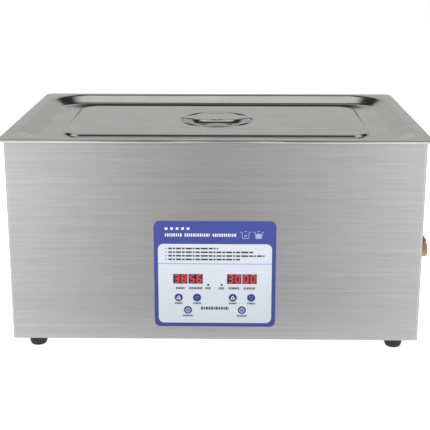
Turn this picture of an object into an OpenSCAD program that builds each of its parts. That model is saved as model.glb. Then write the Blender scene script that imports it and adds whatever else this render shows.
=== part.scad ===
// Bench-top ultrasonic cleaner: steel housing, deep-drawn tank, lift-off lid, control panel, side valve.
// Millimetres. The origin is the centre of the four feet on the bench, +X right, +Y back, +Z up.

/* [Housing] */
// Width of the housing, left to right
body_w = 515; // [511:1:517]
// Depth of the housing, front to back
body_d = 312; // [311:1:314]
// Height of the housing's bottom edge above the bench
foot_h = 20; // [18:1:22]
// Thickness of the housing's sheet
sheet_t = 1.2; // [1.0:0.1:1.4]

/* [Tank and lid] */
// Inside width of the tank
tank_w = 500; // [497:1:501]
// Inside depth of the tank, front to back
tank_d = 300; // [298:1:301]
// Inside height of the tank, from floor to flange
tank_h = 150; // [146:1:154]
// Height of the lid's rim above the bench
lid_z = 281; // [279:1:284]
// Width of the lid's rim
lid_w = 530; // [529:1:534]
// Depth of the lid's rim, front to back
lid_d = 325; // [324:1:328]
// Thickness of the lid's sheet
lid_t = 0.8; // [0.6:0.1:1.0]
// How far the lid's trough lies below its rim
trough_drop = 10; // [8:0.5:12]

/* [Control panel] */
// Width of the panel plate
panel_w = 152; // [150:1:160]
// Height of the panel plate
panel_h = 139; // [136:1:142]
// Height of the panel plate's bottom edge above the bench
panel_z = 38; // [36:1:40]
// Radius of the round buttons
button_r = 4.9; // [4.5:0.1:5.2]
// How far a button travels
button_travel = 0.5; // [0.3:0.1:0.5]

/* [Drain valve] */
// Height of the drain's axis above the bench
drain_z = 88; // [86:1:90]
// How far the valve's end stands from the middle of the housing
valve_end = 297; // [296:1:300]
// Width across flats of the valve's hexagons
valve_af = 19; // [18:0.5:20]

/* [Hidden] */
$fn = 64;
eps = 0.01;
hull_fn = 32;
panel_nodes = ["display_set_temp", "display_now_temp", "display_minutes", "display_seconds"];
button_nodes = ["button_temp_up", "button_temp_down", "button_time_up", "button_time_down",
    "button_heat", "button_sonic"];

// Housing
half_w = body_w / 2;
half_d = body_d / 2;
inner_w = body_w - 2 * sheet_t;
inner_d = body_d - 2 * sheet_t;
fold_r = 3;
flange_top = lid_z - lid_t - 0.4;
tank_t = 1.2;
housing_top = flange_top - tank_t;
wrap_lip = 12;
front_y = -half_d;
back_y = half_d;
base_top = foot_h + sheet_t;

// Feet and base
foot_x = half_w - 26;
foot_y = half_d - 30;
foot_r = 14;
base_screw_r = 1.9;

// Tank
tank_floor = flange_top - tank_h;
tank_bottom = tank_floor - tank_t;
tank_corner_r = 35;
tank_floor_r = 22;
flange_over = 3;

// Lid
lid_skirt = 3.4;
lid_pan_r = 50;
lid_slope = 20;
lid_trough = 30;
panel_rise = 2.8;
panel_step = 3;
trough_z = lid_z - trough_drop;
lid_panel_z = trough_z + panel_rise;
dish_r = 50;
dish_bottom_r = 26;
dish_depth = 11;
strap_w = 38;
strap_t = 1.5;

// Panel
panel_t = 1.2;
panel_y = front_y - panel_t;
panel_mid = panel_z + panel_h / 2;
display_w = 17.6;
display_h = 12.4;
display_z = panel_z + 64;
display_x = [-43.4, -24.2, 24.2, 43.4];
display_deep = 8;
lamp_x = 8.4;
lamp_z = panel_z + 56.2;
lamp_r = 1.25;
board_t = 1.6;
board_y = panel_y + 0.3 + display_deep;
board_w = 144;
board_z = panel_z + 8;
board_h = 73;
button_x = [-45.6, -22.5, 22.5, 45.6, -34, 34];
button_z = [39, 39, 39, 39, 22.3, 22.3];
button_gap = 0.3;
button_proud = 0.6;
tact_deep = 3.5;
tact_plunger = 0.8;
cutout_w = 128;
cutout_z = panel_z + 13;
cutout_h = 63;
spacer_x = board_w / 2 - 3;
spacer_z = [board_z + 3, board_z + board_h - 3];

// Transducers
transducer_x = [-180, -60, 60, 180];
transducer_y = 72;
front_h = 26;
front_r1 = 24;
front_r2 = 17;
ring_h = 5;
ring_r = 17.5;
back_h = 20;

// Generator board
gen_x = -35;
gen_y = 98;
gen_w = 150;
gen_d = 84;
gen_z = base_top + 8;
gen_top = gen_z + board_t;

// Drain
drain_x = 205;
spigot_r = 9;
drain_bore = 5;
outlet_r = 5.72;
outlet_len = 11;
valve_x = 277.8;
ball_r = 8;
stem_r = 2.5;
fit = 0.05;
lever_z = drain_z + 22;
lever_rise = 5;
lever_reach = 58;
hex_h = 9.5;

// Back panel
inlet_x = -170;
inlet_z = 82;
inlet_deep = 22;
switch_x = -118;
rocker_pin = 17.2;
rocker_pin_r = 2;
rocker_in = 1;
fan_x = 150;
fan_z = 82;
fan_size = 80;
fan_deep = 25;
fan_bore = 38;
fan_gap = 0.6;
fan_pitch = 71.5;
fan_pin = 2.4;
fan_pin_r = 2;

// Carry handles
grip_z = 205;
grip_half = 55;
grip_drop = 42;
grip_r = 4;
grip_out = 11;
pivot_r = 3;

// Flat outline with round corners
module round_rect(w, d, r) {
    square([w - 2 * r, d], center = true);
    square([w, d - 2 * r], center = true);
    for (sx = [-1, 1], sy = [-1, 1])
        translate([sx * (w / 2 - r), sy * (d / 2 - r)])
            circle(r);
}

// Flat plate with round corners, standing on z
module round_plate(w, d, h, r, z) {
    translate([0, 0, z])
        linear_extrude(h)
            round_rect(w, d, r);
}

// Solid pan with round corners and a rounded floor edge
module pan_solid(w, d, h, corner, floor_r) {
    hull() {
        for (a = [0:22.5:70])
            translate([0, 0, floor_r * (1 - cos(a))])
                linear_extrude(eps)
                    round_rect(w - 2 * floor_r * (1 - sin(a)), d - 2 * floor_r * (1 - sin(a)),
                        corner - floor_r * (1 - sin(a)), $fn = hull_fn);
        translate([0, 0, floor_r])
            linear_extrude(h - floor_r)
                round_rect(w, d, corner, $fn = hull_fn);
    }
}

// Tapered solid between two outlines, the larger at the top
module taper(w1, d1, r1, z1, w2, d2, r2, z2) {
    hull() {
        translate([0, 0, z1 - eps])
            linear_extrude(eps)
                round_rect(w1, d1, r1, $fn = hull_fn);
        translate([0, 0, z2])
            linear_extrude(eps)
                round_rect(w2, d2, r2, $fn = hull_fn);
    }
}

// Children copied to four places, mirrored left to right and front to back
module at_four(dx, dy) {
    for (sx = [-1, 1], sy = [-1, 1])
        translate([sx * dx, sy * dy, 0])
            children();
}

// Children drawn along +Z are laid along +Y, starting at y
module along_y(x, y, z) {
    translate([x, y, z])
        rotate([-90, 0, 0])
            children();
}

// Children drawn along +Z are laid along +X, starting at x
module along_x(x, y, z) {
    translate([x, y, z])
        rotate([0, 90, 0])
            children();
}

// Ring standing on z
module ring(r_out, r_in, h, z = 0) {
    translate([0, 0, z])
        difference() {
            cylinder(r = r_out, h = h);
            translate([0, 0, -1])
                cylinder(r = r_in, h = h + 2);
        }
}

// Hexagonal bar of a given width across flats, with two corners on the X axis
module hex(af, h) {
    cylinder(r = af / 2 / cos(30), h = h, $fn = 6);
}

// Pan-head screw with its head at z = 0, pointing up
module screw(shank_r, len, head_r, head_h) {
    translate([0, 0, -head_h])
        cylinder(r = head_r, h = head_h);
    cylinder(r = shank_r, h = len);
}

// Round wire that follows points along the axes, with ball joints
module wire(points, r) {
    for (i = [0:len(points) - 2]) {
        step = points[i + 1] - points[i];
        run = norm(step);
        translate(points[i])
            rotate([0, acos(step[2] / run), atan2(step[1], step[0])])
                cylinder(r = r, h = run, $fn = 16);
    }
    for (p = points)
        translate(p)
            sphere(r, $fn = 16);
}

// Rows of narrow slots through a plate, standing on z
module vent_slots(cx, cy, rows, pitch, len) {
    for (i = [0:rows - 1])
        translate([cx, cy + (i - (rows - 1) / 2) * pitch, 0])
            cube([len, 3, 20], center = true);
}

module housing() {
    color("silver") difference() {
        union() {
            difference() {
                round_plate(body_w, body_d, housing_top - foot_h, fold_r, foot_h);
                round_plate(inner_w, inner_d, housing_top, fold_r - sheet_t, foot_h - 1);
            }
            housing_top_return();
            housing_bottom_return();
        }
        translate([-cutout_w / 2, front_y - 1, cutout_z])
            cube([cutout_w, sheet_t + 2, cutout_h]);
        along_x(half_w - sheet_t - 1, 0, drain_z)
            cylinder(r = spigot_r + 0.2, h = sheet_t + 2);
        translate([inlet_x - 13.8, back_y - sheet_t - 1, inlet_z - 16])
            cube([27.6, sheet_t + 2, 32]);
        translate([switch_x - 10.2, back_y - sheet_t - 1, inlet_z - 13.8])
            cube([20.4, sheet_t + 2, 27.6]);
        along_y(fan_x, back_y - sheet_t - 1, fan_z)
            cylinder(r = fan_bore, h = sheet_t + 2);
        fan_holes() cylinder(r = 2.2, h = sheet_t + 2);
    }
}

module housing_top_return() {
    difference() {
        round_plate(inner_w + sheet_t, inner_d + sheet_t, sheet_t,
                    fold_r - sheet_t / 2, housing_top - sheet_t);
        round_plate(tank_w + 2 * tank_t + 0.4, tank_d + 2 * tank_t + 0.4, sheet_t + 2,
            tank_corner_r, housing_top - sheet_t - 1);
    }
}

module housing_bottom_return() {
    difference() {
        round_plate(inner_w + sheet_t, inner_d + sheet_t, sheet_t, fold_r - sheet_t / 2, base_top);
        round_plate(inner_w - 2 * wrap_lip, inner_d - 2 * wrap_lip, sheet_t + 2, 6, base_top - 1);
        base_screw_places()
            cylinder(r = base_screw_r, h = 60);
    }
}

module base_screw_places() {
    for (sx = [-1, 0, 1], sy = [-1, 1])
        translate([sx * (half_w - 60), sy * (half_d - 8), 0])
            children();
}

module base_plate() {
    color("gray") difference() {
        round_plate(inner_w - 0.2, inner_d - 0.2, sheet_t, fold_r - sheet_t - 0.1, foot_h);
        base_screw_places()
            cylinder(r = base_screw_r, h = 60);
        at_four(foot_x, foot_y)
            cylinder(r = 2.2, h = 60);
        translate([0, 0, foot_h]) {
            vent_slots(-140, 0, 8, 9, 60);
            vent_slots(110, 0, 8, 9, 60);
        }
    }
}

module base_screws() {
    color("silver") base_screw_places()
        translate([0, 0, foot_h])
            screw(base_screw_r - 0.1, 6, 3.4, 1.8);
}

module feet() {
    color("#202020") at_four(foot_x, foot_y)
        rotate_extrude()
            polygon([[2.2, 7], [7, 7], [7, 0], [foot_r - 5, 0], [foot_r - 2.6, 1.2], [foot_r - 1.4, 3.6],
                [foot_r, foot_h - 1], [foot_r - 0.6, foot_h], [2.2, foot_h]]);
}

module foot_screws() {
    color("silver") at_four(foot_x, foot_y) {
        translate([0, 0, 7])
            screw(2, foot_h - 7 + 8, 4, 2.4);
        translate([0, 0, base_top])
            hex(7, 3.2);
    }
}

module tank() {
    color("lightgray") difference() {
        union() {
            translate([0, 0, tank_bottom])
                pan_solid(tank_w + 2 * tank_t, tank_d + 2 * tank_t, tank_h + tank_t,
                    tank_corner_r + tank_t, tank_floor_r + tank_t);
            round_plate(lid_w - 2 * flange_over, lid_d - 2 * flange_over, tank_t, 6, housing_top);
        }
        translate([0, 0, tank_floor])
            pan_solid(tank_w, tank_d, tank_h + 5, tank_corner_r, tank_floor_r);
        translate([drain_x, 0, tank_bottom - 5])
            cylinder(r = spigot_r, h = 20);
    }
}

module lid() {
    color("gainsboro") union() {
        difference() {
            union() {
                difference() {
                    round_plate(lid_w, lid_d, lid_skirt, 6, lid_z - lid_skirt);
                    round_plate(lid_w - 2 * lid_t, lid_d - 2 * lid_t, lid_skirt, 6 - lid_t,
                        lid_z - lid_skirt - lid_t);
                }
                lid_pan(-lid_t, 0);
            }
            lid_pan(0, 1);
            lid_raise(-lid_t, 2);
        }
        difference() {
            lid_raise(0, 0);
            lid_raise(-lid_t, 1);
            translate([0, 0, trough_z - 20])
                cylinder(r = dish_r - 1, h = 40);
        }
        lid_dish();
    }
}

// The lid's sunken part: drop lowers it, and grow lets it cut cleanly through the rim
module lid_pan(drop, grow) {
    taper(tank_w + grow * 0.1 * lid_slope, tank_d + grow * 0.1 * lid_slope, lid_pan_r,
        lid_z + drop + grow, tank_w - 2 * lid_slope, tank_d - 2 * lid_slope, lid_pan_r - 12, trough_z + drop);
}

// The lid's raised middle: grow lets it cut cleanly through the trough
module lid_raise(drop, grow) {
    w = tank_w - 2 * lid_slope - 2 * lid_trough;
    d = tank_d - 2 * lid_slope - 2 * lid_trough;
    hull() {
        translate([0, 0, trough_z - lid_t - 0.5 * grow])
            linear_extrude(eps)
                round_rect(w + drop, d + drop, 28, $fn = hull_fn);
        translate([0, 0, lid_panel_z + drop - eps])
            linear_extrude(eps)
                round_rect(w - 2 * panel_step + drop, d - 2 * panel_step + drop, 25, $fn = hull_fn);
    }
}

// The round finger dish pressed into the lid, with a raised bead around it
module lid_dish() {
    top = lid_panel_z;
    low = top - dish_depth;
    rotate_extrude()
        polygon([[dish_r, top - lid_t], [dish_r, top + 1], [dish_r - 3, top + 1.2], [dish_r - 6, top],
            [dish_bottom_r + 8, low + 2], [dish_bottom_r, low], [0, low], [0, low - lid_t],
            [dish_bottom_r, low - lid_t], [dish_bottom_r + 8, low + 2 - lid_t], [dish_r - 6, top - lid_t]]);
}

// Arched strap across the dish, leaf-shaped from above: widest in the middle
module lid_handle() {
    arch = 1.6;
    flank_r = 130;
    color("silver") intersection() {
        translate([0, strap_w, lid_panel_z + 1.2])
            rotate([90, 0, 0])
                linear_extrude(2 * strap_w)
                    polygon([[-dish_r + 1, -0.2], [-dish_r + 7, 0], [-24, arch], [24, arch], [dish_r - 7, 0],
                        [dish_r - 1, -0.2], [dish_r - 1, strap_t - 0.2], [dish_r - 7, strap_t],
                        [24, arch + strap_t], [-24, arch + strap_t], [-dish_r + 7, strap_t],
                        [-dish_r + 1, strap_t - 0.2]]);
        translate([0, strap_w / 2 - flank_r, lid_panel_z])
            cylinder(r = flank_r, h = 10);
        translate([0, flank_r - strap_w / 2, lid_panel_z])
            cylinder(r = flank_r, h = 10);
    }
}

module panel_plate() {
    color("royalblue") difference() {
        along_y(0, panel_y, panel_mid)
            linear_extrude(panel_t)
                round_rect(panel_w, panel_h, 7);
        for (x = display_x)
            translate([x - display_w / 2 - 0.2, panel_y - 1, display_z - display_h / 2 - 0.2])
                cube([display_w + 0.4, panel_t + 2, display_h + 0.4]);
        for (sx = [-1, 1])
            along_y(sx * lamp_x, panel_y - 1, lamp_z)
                cylinder(r = lamp_r + 0.1, h = panel_t + 2);
        for (i = [0:len(button_x) - 1])
            along_y(button_x[i], panel_y - 1, panel_z + button_z[i])
                cylinder(r = button_r + button_gap, h = panel_t + 2);
    }
}

module display(i) {
    color("#301010") translate([display_x[i] - display_w / 2, panel_y + 0.3, display_z - display_h / 2])
        cube([display_w, display_deep, display_h]);
}

module indicator_lamps() {
    color("#101010") for (sx = [-1, 1])
        along_y(sx * lamp_x, panel_y - 0.2, lamp_z) {
            cylinder(r = lamp_r, h = board_y - panel_y + 0.2);
            translate([0, 0, panel_t + 1])
                cylinder(r = lamp_r + 0.6, h = board_y - panel_y - panel_t - 0.8);
        }
}

// Round cap with a retaining flange behind the plate and a short stem
module button(i) {
    cap_h = button_proud + panel_t + 0.3;
    rim_h = 1;
    stem_gap = button_travel + 0.3;
    stem_h = button_proud + board_y - panel_y - tact_deep - tact_plunger - cap_h - rim_h - stem_gap;
    color("mediumblue") along_y(button_x[i], panel_y - button_proud, panel_z + button_z[i]) {
        cylinder(r = button_r, h = cap_h + eps);
        translate([0, 0, cap_h])
            cylinder(r = button_r + 1.2, h = rim_h);
        translate([0, 0, cap_h + rim_h])
            cylinder(r = 2.5, h = stem_h);
    }
}

module control_board() {
    color("darkgreen") difference() {
        translate([-board_w / 2, board_y, board_z])
            cube([board_w, board_t, board_h]);
        for (sx = [-1, 1], z = spacer_z)
            along_y(sx * spacer_x, board_y - 1, z)
                cylinder(r = 1.6, h = board_t + 2);
    }
}

module tact_switches() {
    color("dimgray") for (i = [0:len(button_x) - 1]) {
        translate([button_x[i] - 3, board_y - tact_deep, panel_z + button_z[i] - 3])
            cube([6, tact_deep, 6]);
        along_y(button_x[i], board_y - tact_deep - tact_plunger, panel_z + button_z[i])
            cylinder(r = 1.7, h = tact_plunger + 0.2);
    }
}

module control_spacers() {
    color("gold") for (sx = [-1, 1], z = spacer_z)
        along_y(sx * spacer_x, front_y + sheet_t, z)
            ring(2.8, 1.4, board_y - front_y - sheet_t);
}

module control_screws() {
    color("silver") for (sx = [-1, 1], z = spacer_z)
        translate([sx * spacer_x, board_y + board_t, z])
            rotate([90, 0, 0])
                screw(1.35, 6, 2.6, 1.6);
}

// Children placed at the eight transducers, at the tank's underside
module at_transducers() {
    for (x = transducer_x, sy = [-1, 1])
        translate([x, sy * transducer_y, tank_bottom])
            children();
}

module transducer_fronts() {
    color("silver") at_transducers()
        translate([0, 0, -front_h])
            difference() {
                cylinder(r1 = front_r2, r2 = front_r1, h = front_h);
                translate([0, 0, -1])
                    cylinder(r = 5, h = 16);
            }
}

module transducer_ceramics() {
    color("#b0a890") at_transducers()
        for (i = [0, 1]) {
            ring(ring_r, 7, ring_h, -front_h - (i + 1) * (ring_h + 0.4));
            ring(ring_r - 1, 7, 0.4, -front_h - 0.4 - i * (ring_h + 0.4));
        }
}

module transducer_backs() {
    color("dimgray") at_transducers()
        ring(ring_r, 5.2, back_h, -front_h - 2 * (ring_h + 0.4) - back_h);
}

module transducer_bolts() {
    len = 2 * (ring_h + 0.4) + back_h;
    color("black") at_transducers()
        translate([0, 0, -front_h - len]) {
            cylinder(r = 4.9, h = len + 13);
            translate([0, 0, -6])
                cylinder(r = 8, h = 6);
        }
}

module generator_board() {
    color("darkgreen") translate([gen_x - gen_w / 2, gen_y - gen_d / 2, gen_z])
        cube([gen_w, gen_d, board_t]);
}

module generator_spacers() {
    color("gold") translate([gen_x, gen_y, 0])
        at_four(gen_w / 2 - 5, gen_d / 2 - 5)
            translate([0, 0, base_top])
                cylinder(r = 3, h = gen_z - base_top);
}

// Core with a wound coil between its legs
module transformer() {
    color("#302820") translate([gen_x - 45, gen_y - 12, gen_top]) {
        difference() {
            translate([-20, -8, 0])
                cube([40, 16, 34]);
            translate([-13, -9, 6])
                cube([26, 18, 22]);
        }
        translate([0, 0, 6])
            cylinder(r = 12.9, h = 22);
    }
}

module heatsink() {
    fins = 9;
    color("gray") translate([gen_x + 30, gen_y + 26, gen_top]) {
        translate([-36, -2, 0])
            cube([72, 4, 28]);
        for (i = [0:fins - 1])
            translate([-36 + i * (72 - 2) / (fins - 1), 2 - eps, 0])
                cube([2, 12, 28]);
    }
}

module power_transistors() {
    color("black") for (i = [0:3])
        translate([gen_x + 30 - 31 + i * 16, gen_y + 26 - 2 - 5, gen_top + 3]) {
            cube([14, 5, 19]);
            for (leg = [2.5, 7, 11.5])
                translate([leg - 0.5, 2, -3])
                    cube([1, 1, 3]);
        }
}

module capacitors() {
    color("navy") for (i = [0:2])
        translate([gen_x - 5 + i * 24, gen_y - 20, gen_top])
            cylinder(r = 9, h = 24);
}

// Self-adhesive heating mats on the tank's long walls
module heater_pads() {
    pad_w = 380;
    pad_h = 80;
    color("orangered") for (sy = [-1, 1])
        translate([-pad_w / 2, sy * (tank_d / 2 + tank_t + 0.6) - 0.6, tank_floor + 30])
            cube([pad_w, 1.2, pad_h]);
}

// Sensor block clamped under the tank's floor
module temp_sensor() {
    color("tan") translate([0, 0, tank_bottom]) {
        translate([-9, -5, -8])
            cube([18, 10, 8]);
        along_x(9, 0, -4)
            cylinder(r = 1.5, h = 12);
    }
}

module drain_strainer() {
    color("silver") translate([drain_x, 0, tank_floor + 2])
        difference() {
            cylinder(r = 15, h = 1);
            for (ring_at = [5, 10], a = [0:45:315])
                rotate([0, 0, a + ring_at * 4])
                    translate([ring_at, 0, -1])
                        cylinder(r = 1.4, h = 3);
        }
}

module drain_fitting() {
    color("silver") translate([drain_x, 0, 0])
        difference() {
            union() {
                translate([0, 0, tank_floor])
                    cylinder(r = 16, h = 2);
                translate([0, 0, tank_bottom - 20])
                    cylinder(r = spigot_r, h = 20 + tank_t);
                translate([0, 0, tank_bottom - 2 - 6])
                    hex(28, 6);
            }
            translate([0, 0, tank_bottom - 30])
                cylinder(r = drain_bore + 1, h = 60);
        }
}

module drain_gasket() {
    color("#303030") translate([drain_x, 0, 0])
        ring(15, spigot_r, 2, tank_bottom - 2);
}

module drain_elbow() {
    elbow_r = 11.5;
    color("goldenrod") difference() {
        union() {
            translate([drain_x, 0, drain_z])
                cylinder(r = elbow_r, h = tank_bottom - 9 - drain_z);
            translate([drain_x, 0, drain_z])
                sphere(elbow_r);
            along_x(drain_x, 0, drain_z)
                cylinder(r = elbow_r, h = 20);
        }
        translate([drain_x, 0, drain_z])
            cylinder(r = drain_bore, h = 60);
        translate([drain_x, 0, tank_bottom - 20])
            cylinder(r = spigot_r, h = 30);
        along_x(drain_x, 0, drain_z)
            cylinder(r = drain_bore, h = 30);
        along_x(drain_x + 10, 0, drain_z)
            cylinder(r = spigot_r, h = 30);
    }
}

module drain_pipe() {
    color("goldenrod") along_x(drain_x + 10, 0, drain_z)
        ring(spigot_r, drain_bore, half_w + 1.5 - drain_x - 10);
}

module wall_nut() {
    color("goldenrod") along_x(half_w - sheet_t - 6, 0, drain_z)
        rotate([0, 0, 30])
            difference() {
                hex(26, 6);
                translate([0, 0, -1])
                    cylinder(r = spigot_r, h = 8);
            }
}

module valve_body() {
    start = half_w + 1.5;
    color("goldenrod") difference() {
        union() {
            along_x(start, 0, drain_z)
                rotate([0, 0, 30])
                    hex(valve_af, 8);
            along_x(start + 7.5, 0, drain_z)
                cylinder(r = valve_af / 2 + 1, h = valve_end - hex_h - start - 7);
            along_x(valve_end - hex_h, 0, drain_z)
                valve_hex_end();
            translate([valve_x, 0, drain_z])
                cylinder(r = 6, h = 16);
        }
        along_x(start - 1, 0, drain_z)
            cylinder(r = drain_bore, h = 60);
        along_x(valve_end - outlet_len, 0, drain_z)
            cylinder(r = outlet_r, h = outlet_len + 1);
        translate([valve_x, 0, drain_z])
            sphere(ball_r + fit);
        translate([valve_x, 0, drain_z])
            cylinder(r = stem_r + fit, h = 30);
    }
}

// Hexagon with a chamfered outer end
module valve_hex_end() {
    intersection() {
        rotate([0, 0, 30])
            hex(valve_af, hex_h);
        union() {
            cylinder(r = valve_af, h = hex_h - 1.4);
            translate([0, 0, hex_h - 1.4 - eps])
                cylinder(r1 = valve_af / 2 + 1.4, r2 = valve_af / 2 - 0.4, h = 1.4 + eps);
        }
    }
}

// Ball with a cross bore: at rest the bore lies across the pipe, so the valve is closed
module valve_ball() {
    color("silver") translate([valve_x, 0, drain_z])
        rotate([90, 0, 0])
            rotate_extrude()
                difference() {
                    circle(ball_r);
                    translate([-2 * ball_r, -ball_r])
                        square([2 * ball_r + drain_bore - 0.2, 2 * ball_r]);
                }
}

module valve_stem() {
    color("silver") translate([valve_x, 0, drain_z + ball_r - 0.6])
        cylinder(r = stem_r, h = lever_z + 6 - drain_z - ball_r + 0.6);
}

module valve_lever() {
    t = 2;
    w = 11;
    color("silver") difference() {
        translate([valve_x - w / 2, 0, lever_z])
            rotate([90, 0, 90])
                linear_extrude(w)
                    polygon([[6, 0], [6, t], [-9, t], [-15, t + lever_rise], [-lever_reach, t + lever_rise],
                        [-lever_reach, lever_rise], [-15 + 0.8, lever_rise], [-9 + 0.8, 0]]);
        translate([valve_x, 0, lever_z - 1])
            cylinder(r = stem_r, h = 10);
    }
}

module lever_sleeve() {
    h = 7.6;
    w = 12.4;
    len = 42;
    color("crimson") translate([valve_x, -lever_reach + len / 2 - 1.2, lever_z + lever_rise + 1 - h / 2])
        difference() {
            linear_extrude(h)
                round_rect(w, len, 5);
            translate([-5.5, 1.2 - len / 2, h / 2 - 1])
                cube([11, len, 2]);
        }
}

module lever_nut() {
    color("silver") translate([valve_x, 0, lever_z + 2])
        difference() {
            rotate([0, 0, 30])
                hex(8, 3.2);
            translate([0, 0, -1])
                cylinder(r = stem_r, h = 6);
        }
}

// Socket housing with a flange outside, three pins in its cavity and room for the fuse drawer below
module mains_inlet() {
    color("#181818") translate([inlet_x, back_y, inlet_z]) {
        difference() {
            union() {
                translate([-25, 0, -18])
                    cube([50, 3, 36]);
                translate([-13.6, -inlet_deep, -15.8])
                    cube([27.2, inlet_deep + eps, 31.6]);
            }
            translate([-12, -14, -3.5])
                cube([24, 20, 17]);
            translate([-11, -16, -14])
                cube([22, 22, 8.5]);
            for (sx = [-1, 1])
                along_y(sx * 20, -1, 0)
                    cylinder(r = 1.8, h = 6);
        }
        for (px = [-7, 0, 7])
            translate([px - 1, -14 - eps, px == 0 ? 6 : 2])
                cube([2, 12, 4]);
    }
}

module fuse_drawer() {
    color("#303030") translate([inlet_x, back_y, inlet_z]) {
        translate([-10.6, -15.5, -13.6])
            cube([21.2, 18.8, 7.7]);
        translate([-6, 3.2, -10.6])
            cube([12, 1, 2]);
    }
}

module switch_bezel() {
    color("#181818") translate([switch_x, back_y, inlet_z])
        difference() {
            union() {
                translate([-12, 0, -15.5])
                    cube([24, 2, 31]);
                translate([-10, -16, -13.6])
                    cube([20, 16 + eps, 27.2]);
            }
            translate([-7.4, -9, -11])
                cube([14.8, 20, 22]);
            along_x(-rocker_pin / 2 - 0.2, -rocker_in, 0)
                cylinder(r = rocker_pin_r + fit, h = rocker_pin + 0.4);
        }
}

// Rocker seen from the side is a shallow V on a round pivot pin: at rest its upper half is pressed in
module switch_rocker() {
    rock_w = 14.2;
    color("crimson") union() {
        translate([switch_x - rock_w / 2, back_y - rocker_in, inlet_z])
            rotate([90, 0, 90])
                linear_extrude(rock_w)
                    polygon([[-3, 9.6], [1.2, 9.8], [2.6, 0], [4.6, -9.4], [0.4, -9.8], [-4, -3], [-4, 3]]);
        along_x(switch_x - rocker_pin / 2, back_y - rocker_in, inlet_z)
            cylinder(r = rocker_pin_r, h = rocker_pin);
    }
}

// Four fan screw places on the back wall, pointing backwards
module fan_holes() {
    for (sx = [-1, 1], sz = [-1, 1])
        along_y(fan_x + sx * fan_pitch / 2, back_y - sheet_t - 1, fan_z + sz * fan_pitch / 2)
            children();
}

module fan_frame() {
    y0 = back_y - sheet_t - fan_deep;
    color("#202020") along_y(fan_x, y0, fan_z)
        difference() {
            linear_extrude(fan_deep)
                round_rect(fan_size, fan_size, 5);
            translate([0, 0, 3])
                cylinder(r = fan_bore, h = fan_deep);
            difference() {
                translate([0, 0, -1])
                    cylinder(r = fan_bore, h = 5);
                translate([0, 0, -2])
                    cylinder(r = 17, h = 7);
                for (a = [0, 60, 120])
                    rotate([0, 0, a + 30])
                        translate([-50, -2.5, -2])
                            cube([100, 5, 7]);
            }
            at_four(fan_pitch / 2, fan_pitch / 2)
                translate([0, 0, -1])
                    cylinder(r = 2.15, h = fan_deep + 2);
            translate([0, 0, 3 - fan_pin])
                cylinder(r = fan_pin_r + fit, h = fan_pin + 1);
        }
}

module fan_rotor() {
    y0 = back_y - sheet_t - fan_deep + 3 + fan_gap;
    blades = 7;
    blade_h = fan_deep - 3 - 2 * fan_gap;
    color("#303030") along_y(fan_x, y0, fan_z) {
        cylinder(r = 17, h = blade_h);
        translate([0, 0, 0.4 - fan_gap - fan_pin])
            cylinder(r = fan_pin_r, h = fan_pin + fan_gap);
        intersection() {
            ring(fan_bore - 1, 16, blade_h);
            for (i = [0:blades - 1])
                rotate([0, 0, i * 360 / blades])
                    translate([26, 0, blade_h / 2])
                        rotate([40, 0, 0])
                            cube([26, 1.8, 40], center = true);
        }
    }
}

// Finger guard outside the back wall: four rings on two crossed bars that end in screw eyes
module fan_guard() {
    guard_t = 2.2;
    bar = fan_pitch * sqrt(2) - 6;
    eye_r = 4.4;
    color("silver") along_y(fan_x, back_y, fan_z)
        difference() {
            union() {
                for (r = [10, 19, 28, 37])
                    ring(r + guard_t / 2, r - guard_t / 2, guard_t - 0.2);
                for (a = [45, 135])
                    rotate([0, 0, a])
                        translate([-bar / 2, -guard_t / 2, 0.1])
                            cube([bar, guard_t, guard_t - 0.1]);
                at_four(fan_pitch / 2, fan_pitch / 2)
                    cylinder(r = eye_r, h = guard_t - 0.4);
            }
            at_four(fan_pitch / 2, fan_pitch / 2)
                translate([0, 0, -1])
                    cylinder(r = 2.15, h = guard_t + 2);
        }
}

module fan_screws() {
    color("silver") for (sx = [-1, 1], sz = [-1, 1])
        translate([fan_x + sx * fan_pitch / 2, back_y + 2.2, fan_z + sz * fan_pitch / 2])
            rotate([90, 0, 0])
                screw(2, 12, 3.8, 2);
}

// Two ears and a backing plate on each side wall, with the bail's pivot pins between them
module handle_brackets() {
    color("silver") for (sx = [-1, 1], sy = [-1, 1])
        translate([sx * half_w, sy * (grip_half + 9), grip_z])
            scale_side(sx) {
                translate([0, -8, -14])
                    cube([2, 16, 28]);
                translate([2 - eps, -2, -7])
                    cube([grip_out - 2, 4, 14]);
                translate([grip_out, 2, 0])
                    rotate([90, 0, 0])
                        cylinder(r = 7, h = 4);
                translate([grip_out, 0, 0])
                    rotate([sy > 0 ? 90 : -90, 0, 0])
                        cylinder(r = pivot_r, h = 10);
            }
}

// Children mirrored for the left side
module scale_side(sx) {
    mirror([sx < 0 ? 1 : 0, 0, 0])
        children();
}

// Bail hanging from its pivots, with an eye at each end
module handle(sx) {
    bend = 9;
    eye_gap = 0.4;
    eye_w = 5.4;
    arm_y = grip_half + 9 - 2 - eye_gap - eye_w / 2;
    color("silver") translate([sx * (half_w + grip_out), 0, grip_z]) {
        for (sy = [-1, 1])
            translate([0, sy * arm_y + eye_w / 2, 0])
                rotate([90, 0, 0])
                    ring(6, pivot_r + fit, eye_w);
        translate([-eye_w / 2, 0, 0])
            rotate([90, 0, 90])
                linear_extrude(eye_w)
                    difference() {
                        round_rect(2 * arm_y + eye_w, 2 * grip_drop + eye_w, bend + eye_w / 2);
                        round_rect(2 * arm_y - eye_w, 2 * grip_drop - eye_w, bend - eye_w / 2);
                        translate([-arm_y - eye_w, -4.5])
                            square([2 * arm_y + 2 * eye_w, 2 * grip_drop]);
                    }
        translate([0, grip_half - 15, -grip_drop])
            rotate([90, 0, 0])
                cylinder(r = grip_r, h = 2 * (grip_half - 15));
    }
}

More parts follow.
